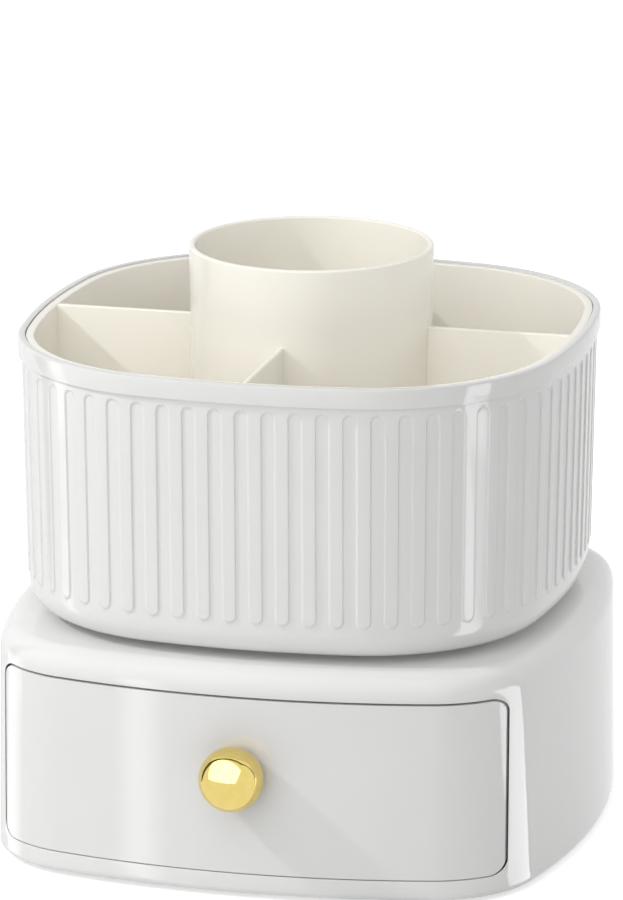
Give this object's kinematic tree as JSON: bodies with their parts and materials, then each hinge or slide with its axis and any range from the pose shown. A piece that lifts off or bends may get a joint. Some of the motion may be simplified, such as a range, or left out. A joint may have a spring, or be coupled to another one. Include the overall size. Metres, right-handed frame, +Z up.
{
  "type": "rotating makeup organizer",
  "caption": "Square-round makeup organizer: a fluted tub with dividers and a raised brush cup turns on a base with a bow-fronted drawer and a ball knob.",
  "frame": {"origin": "centre of the whole object's box at the level of the feet; the turntable axis is 9.2 mm behind it", "axes": "+Z up along the turntable axis, -Y out of the drawer front, +X to the right of someone facing the drawer"},
  "size_m": [0.2099, 0.2284, 0.2098],
  "materials": {
    "white_gloss": "glossy moulded white",
    "white_satin": "satin moulded white",
    "ivory": "soft gloss ivory",
    "gold": "polished gold plating",
    "steel": "zinc plated",
    "polished_steel": "polished",
    "acetal": "smooth natural acetal",
    "cage_nylon": "natural nylon",
    "rubber": "matt"
  },
  "bodies": {
    "base": {"base_shell": "white_gloss", "bottom_plate": "white_satin", "foot_pads": "rubber", "plate_screws": "steel", "runner_right": "white_satin", "runner_left": "white_satin", "runner_screws": "steel", "lower_race": "acetal", "lower_race_screws": "steel", "pivot_bolt": "steel", "pivot_washer": "steel", "pivot_nut": "steel"},
    "drawer": {"drawer_front": "white_gloss", "drawer_tray": "white_satin", "front_screws": "steel", "drawer_knob": "gold", "knob_washer": "steel", "knob_screw": "steel"},
    "cage": {"ball_cage": "cage_nylon", "bearing_balls": "polished_steel"},
    "tub": {"tub_shell": "white_gloss", "upper_race": "acetal", "upper_race_screws": "steel", "pivot_bush": "cage_nylon", "compartment_liner": "ivory", "brush_cup": "ivory", "divider_right": "ivory", "divider_back": "ivory", "divider_left": "ivory", "divider_front": "ivory"}
  },
  "joints": [
    {"name": "drawer_slide", "type": "slide", "parent": "base", "child": "drawer", "axis": [0, -1, 0], "range_m": [0, 0.115]},
    {"name": "tub_spin", "type": "hinge", "parent": "base", "child": "tub", "pos_m": [0, 0.00923, 0.0848], "axis": [0, 0, 1], "continuous": true},
    {"name": "cage_spin", "type": "hinge", "parent": "base", "child": "cage", "pos_m": [0, 0.00923, 0.0779], "axis": [0, 0, 1], "continuous": true}
  ],
  "couplings": [
    {"joint": "cage_spin", "follows": "tub_spin", "ratio": 0.5}
  ]
}
